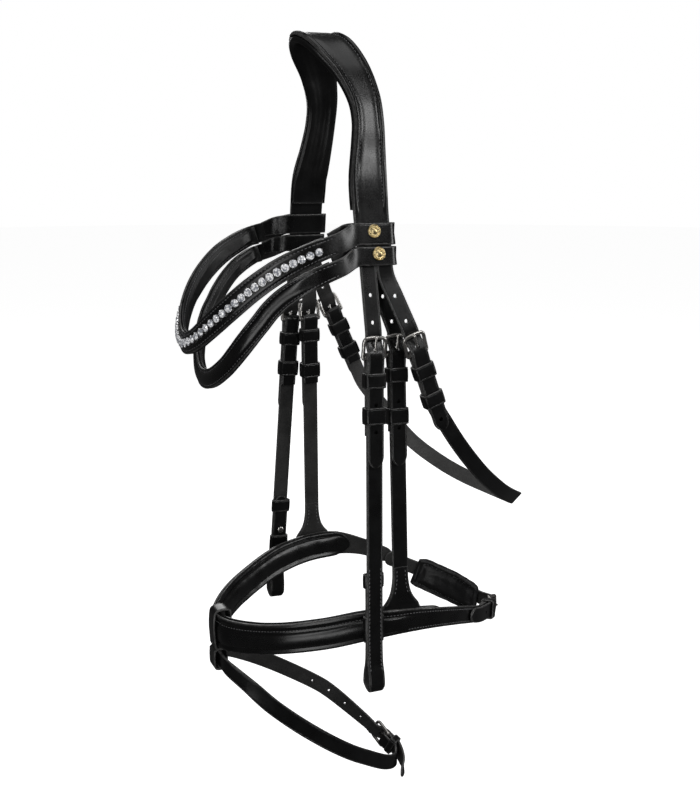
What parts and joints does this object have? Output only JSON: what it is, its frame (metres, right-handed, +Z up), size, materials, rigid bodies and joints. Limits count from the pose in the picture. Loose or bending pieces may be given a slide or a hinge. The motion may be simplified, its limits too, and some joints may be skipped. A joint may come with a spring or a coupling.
{
  "type": "snaffle bridle",
  "caption": "Black leather snaffle bridle with padded crown, double browband with crystals, padded noseband with flash, throatlash and buckled cheekpieces.",
  "frame": {"origin": "the underside of the crown at the poll, where the headpiece rests behind the horse's ears", "axes": "+Z up, -Y towards the horse's nose, +X towards the horse's left side"},
  "size_m": [0.2064, 0.303, 0.6285],
  "materials": {
    "strap_leather": "smooth black bridle leather",
    "padding_leather": "soft black leather over foam",
    "lining_leather": "soft matt black lining leather",
    "buckle_steel": "polished stainless steel",
    "setting": "bright silver cup settings",
    "crystal": "faceted clear crystal",
    "badge": "polished gold-coloured metal"
  },
  "bodies": {
    "headpiece": {"crown_leather": "strap_leather", "crown_padding": "padding_leather", "crown_lining": "lining_leather"},
    "upper_browband": {"upper_browband_strap": "strap_leather", "upper_browband_padding": "padding_leather", "crystal_settings": "setting", "crystals": "crystal", "upper_badges": "badge"},
    "lower_browband": {"lower_browband_strap": "strap_leather", "lower_browband_padding": "padding_leather", "lower_badges": "badge"},
    "cheek_left": {"cheek_billet_left": "strap_leather", "cheek_strap_left": "strap_leather", "cheek_frame_left": "buckle_steel", "cheek_keepers_left": "strap_leather", "hook_stud_left": "buckle_steel"},
    "cheek_right": {"cheek_billet_right": "strap_leather", "cheek_strap_right": "strap_leather", "cheek_frame_right": "buckle_steel", "cheek_keepers_right": "strap_leather", "hook_stud_right": "buckle_steel"},
    "noseband": {"noseband_strap": "strap_leather", "noseband_padding": "padding_leather", "hanger_billet_left": "strap_leather", "hanger_strap_left": "strap_leather", "hanger_frame_left": "buckle_steel", "hanger_keeper_left": "strap_leather", "hanger_billet_right": "strap_leather", "hanger_strap_right": "strap_leather", "hanger_frame_right": "buckle_steel", "hanger_keeper_right": "strap_leather", "chin_billet": "strap_leather", "chin_pad": "padding_leather", "chin_frame": "buckle_steel", "chin_keeper": "strap_leather", "flash_loop": "strap_leather"},
    "throatlash": {"throat_billet_left": "strap_leather", "throat_billet_right": "strap_leather", "throat_strap": "strap_leather", "throat_frame_left": "buckle_steel", "throat_keeper_left": "strap_leather", "throat_frame_right": "buckle_steel", "throat_keeper_right": "strap_leather"},
    "flash": {"flash_strap": "strap_leather", "flash_frame": "buckle_steel", "flash_keepers": "strap_leather"},
    "cheek_prong_left": {"cheek_prong_left": "buckle_steel"},
    "cheek_runner_left": {"cheek_runner_left": "strap_leather"},
    "cheek_prong_right": {"cheek_prong_right": "buckle_steel"},
    "cheek_runner_right": {"cheek_runner_right": "strap_leather"},
    "hanger_prong_left": {"hanger_prong_left": "buckle_steel"},
    "hanger_runner_left": {"hanger_runner_left": "strap_leather"},
    "hanger_prong_right": {"hanger_prong_right": "buckle_steel"},
    "hanger_runner_right": {"hanger_runner_right": "strap_leather"},
    "throat_prong_left": {"throat_prong_left": "buckle_steel"},
    "throat_runner_left": {"throat_runner_left": "strap_leather"},
    "throat_prong_right": {"throat_prong_right": "buckle_steel"},
    "throat_runner_right": {"throat_runner_right": "strap_leather"},
    "chin_prong": {"chin_prong": "buckle_steel"},
    "flash_prong": {"flash_prong": "buckle_steel"}
  },
  "joints": [
    {"name": "upper_browband_slide", "type": "slide", "parent": "headpiece", "child": "upper_browband", "axis": [0, 0, 1], "range_m": [0, 0.005]},
    {"name": "lower_browband_slide", "type": "slide", "parent": "headpiece", "child": "lower_browband", "axis": [0, 0, 1], "range_m": [0, 0.005]},
    {"name": "cheek_left_swing", "type": "hinge", "parent": "headpiece", "child": "cheek_left", "pos_m": [0.0718, 0.008, -0.1608], "axis": [0, -1, 0], "range_deg": [0, 35]},
    {"name": "cheek_right_swing", "type": "hinge", "parent": "headpiece", "child": "cheek_right", "pos_m": [-0.0718, 0.008, -0.1608], "axis": [0, 1, 0], "range_deg": [0, 35]},
    {"name": "noseband_swing", "type": "hinge", "parent": "headpiece", "child": "noseband", "pos_m": [0, 0.0155, -0.167], "axis": [1, 0, 0], "range_deg": [-3, 14]},
    {"name": "throatlash_swing", "type": "hinge", "parent": "headpiece", "child": "throatlash", "pos_m": [0, 0.0224, -0.167], "axis": [1, 0, 0], "range_deg": [-5, 30]},
    {"name": "flash_swing", "type": "hinge", "parent": "noseband", "child": "flash", "pos_m": [0, -0.0929, -0.4748], "axis": [1, 0, 0], "range_deg": [-8, 8]},
    {"name": "cheek_prong_left_turn", "type": "hinge", "parent": "cheek_left", "child": "cheek_prong_left", "pos_m": [0.084, 0.007, -0.2235], "axis": [0.0008, 0.9999, -0.0157], "range_deg": [0, 5]},
    {"name": "cheek_runner_left_slide", "type": "slide", "parent": "cheek_left", "child": "cheek_runner_left", "axis": [-0.0506, 0.0157, 0.9986], "range_m": [-0.008, 0.008]},
    {"name": "cheek_prong_right_turn", "type": "hinge", "parent": "cheek_right", "child": "cheek_prong_right", "pos_m": [-0.084, 0.0065, -0.218], "axis": [0.0028, -0.9984, 0.0557], "range_deg": [0, 5]},
    {"name": "cheek_runner_right_slide", "type": "slide", "parent": "cheek_right", "child": "cheek_runner_right", "axis": [0.0505, 0.0558, 0.9972], "range_m": [-0.008, 0.008]},
    {"name": "hanger_prong_left_turn", "type": "hinge", "parent": "noseband", "child": "hanger_prong_left", "pos_m": [0.0723, 0.0302, -0.225], "axis": [0, 1, 0], "range_deg": [0, 5]},
    {"name": "hanger_runner_left_slide", "type": "slide", "parent": "noseband", "child": "hanger_runner_left", "axis": [-0.0645, 0, 0.9979], "range_m": [-0.008, 0.008]},
    {"name": "hanger_prong_right_turn", "type": "hinge", "parent": "noseband", "child": "hanger_prong_right", "pos_m": [-0.0714, 0.0184, -0.216], "axis": [-0.0031, -0.9993, -0.0383], "range_deg": [0, 5]},
    {"name": "hanger_runner_right_slide", "type": "slide", "parent": "noseband", "child": "hanger_runner_right", "axis": [0.0819, -0.0384, 0.9959], "range_m": [-0.008, 0.008]},
    {"name": "throat_prong_left_turn", "type": "hinge", "parent": "throatlash", "child": "throat_prong_left", "pos_m": [0.0858, 0.0415, -0.222], "axis": [0, 0.9397, 0.342], "range_deg": [0, 5]},
    {"name": "throat_runner_left_slide", "type": "slide", "parent": "throatlash", "child": "throat_runner_left", "axis": [0, -0.342, 0.9397], "range_m": [-0.002, 0.01]},
    {"name": "throat_prong_right_turn", "type": "hinge", "parent": "throatlash", "child": "throat_prong_right", "pos_m": [-0.0858, 0.046, -0.214], "axis": [0, -0.9135, -0.4067], "range_deg": [0, 5]},
    {"name": "throat_runner_right_slide", "type": "slide", "parent": "throatlash", "child": "throat_runner_right", "axis": [0, -0.4067, 0.9135], "range_m": [-0.002, 0.01]},
    {"name": "chin_prong_turn", "type": "hinge", "parent": "noseband", "child": "chin_prong", "pos_m": [0.01988, 0.14836, -0.46567], "axis": [0.1724, -0.1517, -0.9733], "range_deg": [0, 5]},
    {"name": "flash_prong_turn", "type": "hinge", "parent": "flash", "child": "flash_prong", "pos_m": [-0.01425, 0.06476, -0.59165], "axis": [-0.4075, -0.224, -0.8853], "range_deg": [0, 5]}
  ],
  "couplings": [
    {"joint": "lower_browband_slide", "follows": "upper_browband_slide", "ratio": 1}
  ]
}
